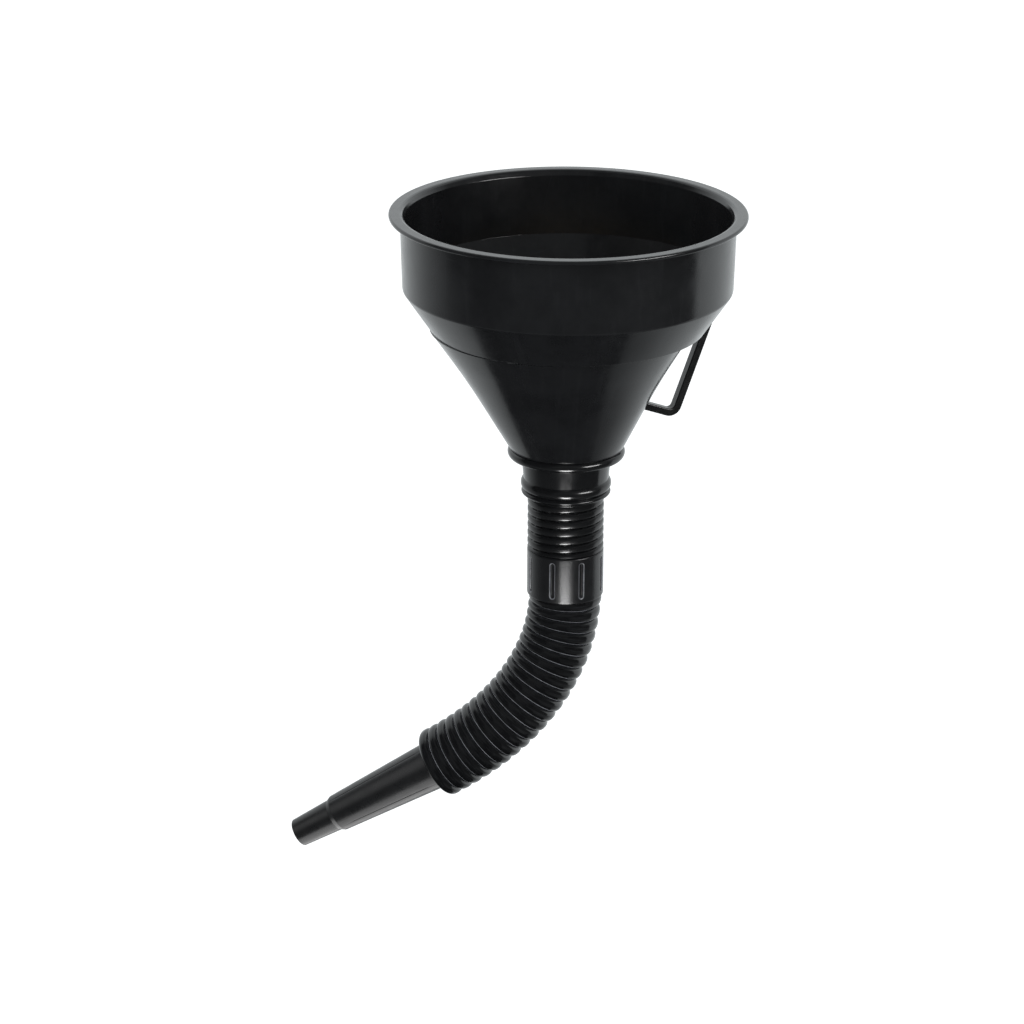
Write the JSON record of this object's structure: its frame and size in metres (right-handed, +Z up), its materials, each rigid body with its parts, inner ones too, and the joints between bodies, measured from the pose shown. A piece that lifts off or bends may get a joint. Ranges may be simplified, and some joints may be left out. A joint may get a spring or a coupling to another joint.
{
  "type": "funnel",
  "caption": "Wide-mouth plastic funnel with a lift-out strainer, a strap handle and a swivelling flexible bellows spout that ends in a tapered nozzle.",
  "frame": {"origin": "under the middle of the object's box, level with the lowest point of the nozzle's tip", "axes": "+Z up along the bowl's axis, -Y towards the viewer, -X the way the spout points at rest"},
  "size_m": [0.209, 0.16, 0.3138],
  "materials": {
    "bowl": "satin",
    "handle": "gloss",
    "adapter": "gloss",
    "grip": "fine grain",
    "hose": "satin",
    "nozzle": "fine grain",
    "strainer": "satin",
    "gauze": "woven wire"
  },
  "bodies": {
    "bowl": {"funnel_bowl": "bowl", "handle": "handle", "spout_adapter": "adapter"},
    "strainer": {"strainer_frame": "strainer", "strainer_gauze": "gauze"},
    "grip": {"grip_sleeve": "grip", "hose_link_00": "hose"},
    "link_01": {"hose_link_01": "hose"},
    "link_02": {"hose_link_02": "hose"},
    "link_03": {"hose_link_03": "hose"},
    "link_04": {"hose_link_04": "hose"},
    "link_05": {"hose_link_05": "hose"},
    "link_06": {"hose_link_06": "hose"},
    "link_07": {"hose_link_07": "hose"},
    "link_08": {"hose_link_08": "hose"},
    "link_09": {"hose_link_09": "hose"},
    "link_10": {"hose_link_10": "hose"},
    "link_11": {"hose_link_11": "hose"},
    "link_12": {"hose_link_12": "hose"},
    "link_13": {"hose_link_13": "hose"},
    "link_14": {"hose_link_14": "hose"},
    "link_15": {"hose_link_15": "hose"},
    "link_16": {"hose_link_16": "hose"},
    "link_17": {"hose_link_17": "hose"},
    "link_18": {"hose_link_18": "hose"},
    "link_19": {"hose_link_19": "hose"},
    "nozzle": {"hose_link_20": "hose", "nozzle": "nozzle"}
  },
  "joints": [
    {"name": "strainer_lift", "type": "slide", "parent": "bowl", "child": "strainer", "axis": [0, 0, 1], "range_m": [0, 0.075]},
    {"name": "spout_swivel", "type": "hinge", "parent": "bowl", "child": "grip", "pos_m": [0.02446, 0, 0.15503], "axis": [0, 0, 1], "continuous": true},
    {"name": "hose_bend", "type": "hinge", "parent": "grip", "child": "link_01", "pos_m": [0.02437, -0.00005, 0.12832], "axis": [-0.4001, 0.9165, 0], "range_deg": [-8.48, 4.5]},
    {"name": "hose_sway", "type": "hinge", "parent": "link_01", "child": "link_02", "pos_m": [0.02387, -0.00026, 0.12311], "axis": [-0.9134, -0.3675, 0.1751], "range_deg": [-4, 4]},
    {"name": "hose_bend_02", "type": "hinge", "parent": "link_02", "child": "link_03", "pos_m": [0.02302, -0.00061, 0.11796], "axis": [-0.3461, 0.9382, 0], "range_deg": [-7.85, 4.17]},
    {"name": "hose_sway_02", "type": "hinge", "parent": "link_03", "child": "link_04", "pos_m": [0.02183, -0.00105, 0.11288], "axis": [-0.9019, -0.3032, 0.3078], "range_deg": [-4.01, 4.01]},
    {"name": "hose_bend_03", "type": "hinge", "parent": "link_04", "child": "link_05", "pos_m": [0.0203, -0.00157, 0.1079], "axis": [-0.2909, 0.9568, 0], "range_deg": [-7.21, 3.83]},
    {"name": "hose_sway_03", "type": "hinge", "parent": "link_05", "child": "link_06", "pos_m": [0.01845, -0.00213, 0.10303], "axis": [-0.8735, -0.238, 0.4247], "range_deg": [-4.01, 4.01]},
    {"name": "hose_bend_04", "type": "hinge", "parent": "link_06", "child": "link_07", "pos_m": [0.01631, -0.00271, 0.09829], "axis": [-0.2347, 0.9721, 0], "range_deg": [-6.57, 3.49]},
    {"name": "hose_sway_04", "type": "hinge", "parent": "link_07", "child": "link_08", "pos_m": [0.01388, -0.0033, 0.09369], "axis": [-0.8326, -0.1755, 0.5253], "range_deg": [-4.01, 4.01]},
    {"name": "hose_bend_05", "type": "hinge", "parent": "link_08", "child": "link_09", "pos_m": [0.01119, -0.00387, 0.08923], "axis": [-0.1777, 0.9841, 0], "range_deg": [-5.93, 3.15]},
    {"name": "hose_sway_05", "type": "hinge", "parent": "link_09", "child": "link_10", "pos_m": [0.00825, -0.0044, 0.08493], "axis": [-0.7833, -0.118, 0.6103], "range_deg": [-4.01, 4.01]},
    {"name": "hose_bend_06", "type": "hinge", "parent": "link_10", "child": "link_11", "pos_m": [0.00509, -0.00488, 0.08079], "axis": [-0.1201, 0.9928, 0], "range_deg": [-5.29, 2.81]},
    {"name": "hose_sway_06", "type": "hinge", "parent": "link_11", "child": "link_12", "pos_m": [0.00172, -0.00529, 0.0768], "axis": [-0.7296, -0.0667, 0.6806], "range_deg": [-4.01, 4.01]},
    {"name": "hose_bend_07", "type": "hinge", "parent": "link_12", "child": "link_13", "pos_m": [-0.00182, -0.00561, 0.07296], "axis": [-0.0621, 0.9981, 0], "range_deg": [-4.65, 2.47]},
    {"name": "hose_sway_07", "type": "hinge", "parent": "link_13", "child": "link_14", "pos_m": [-0.00554, -0.00584, 0.06928], "axis": [-0.6748, -0.0223, 0.7377], "range_deg": [-4.01, 4.01]},
    {"name": "hose_bend_08", "type": "hinge", "parent": "link_14", "child": "link_15", "pos_m": [-0.0094, -0.00597, 0.06575], "axis": [-0.0038, 1, 0], "range_deg": [-4.01, 2.13]},
    {"name": "hose_sway_08", "type": "hinge", "parent": "link_15", "child": "link_16", "pos_m": [-0.01339, -0.00599, 0.06236], "axis": [-0.6219, 0.0157, 0.783], "range_deg": [-4.01, 4.01]},
    {"name": "hose_bend_09", "type": "hinge", "parent": "link_16", "child": "link_17", "pos_m": [-0.01749, -0.00588, 0.0591], "axis": [0.0544, 0.9985, 0], "range_deg": [-3.37, 1.79]},
    {"name": "hose_sway_09", "type": "hinge", "parent": "link_17", "child": "link_18", "pos_m": [-0.02168, -0.00566, 0.05597], "axis": [-0.5731, 0.048, 0.8181], "range_deg": [-4.01, 4.01]},
    {"name": "hose_bend_10", "type": "hinge", "parent": "link_18", "child": "link_19", "pos_m": [-0.02594, -0.0053, 0.05296], "axis": [0.1125, 0.9937, 0], "range_deg": [-2.73, 1.45]},
    {"name": "hose_sway_10", "type": "hinge", "parent": "link_19", "child": "nozzle", "pos_m": [-0.03027, -0.00481, 0.05006], "axis": [-0.5303, 0.0757, 0.8444], "range_deg": [-4.01, 4.01]}
  ],
  "couplings": [
    {"joint": "hose_bend_02", "follows": "hose_bend", "ratio": 0.9245},
    {"joint": "hose_sway_02", "follows": "hose_sway", "ratio": 1},
    {"joint": "hose_bend_03", "follows": "hose_bend", "ratio": 0.849},
    {"joint": "hose_sway_03", "follows": "hose_sway", "ratio": 1},
    {"joint": "hose_bend_04", "follows": "hose_bend", "ratio": 0.7735},
    {"joint": "hose_sway_04", "follows": "hose_sway", "ratio": 1},
    {"joint": "hose_bend_05", "follows": "hose_bend", "ratio": 0.698},
    {"joint": "hose_sway_05", "follows": "hose_sway", "ratio": 1},
    {"joint": "hose_bend_06", "follows": "hose_bend", "ratio": 0.6225},
    {"joint": "hose_sway_06", "follows": "hose_sway", "ratio": 1},
    {"joint": "hose_bend_07", "follows": "hose_bend", "ratio": 0.547},
    {"joint": "hose_sway_07", "follows": "hose_sway", "ratio": 1},
    {"joint": "hose_bend_08", "follows": "hose_bend", "ratio": 0.4715},
    {"joint": "hose_sway_08", "follows": "hose_sway", "ratio": 1},
    {"joint": "hose_bend_09", "follows": "hose_bend", "ratio": 0.396},
    {"joint": "hose_sway_09", "follows": "hose_sway", "ratio": 1},
    {"joint": "hose_bend_10", "follows": "hose_bend", "ratio": 0.3205},
    {"joint": "hose_sway_10", "follows": "hose_sway", "ratio": 1}
  ]
}
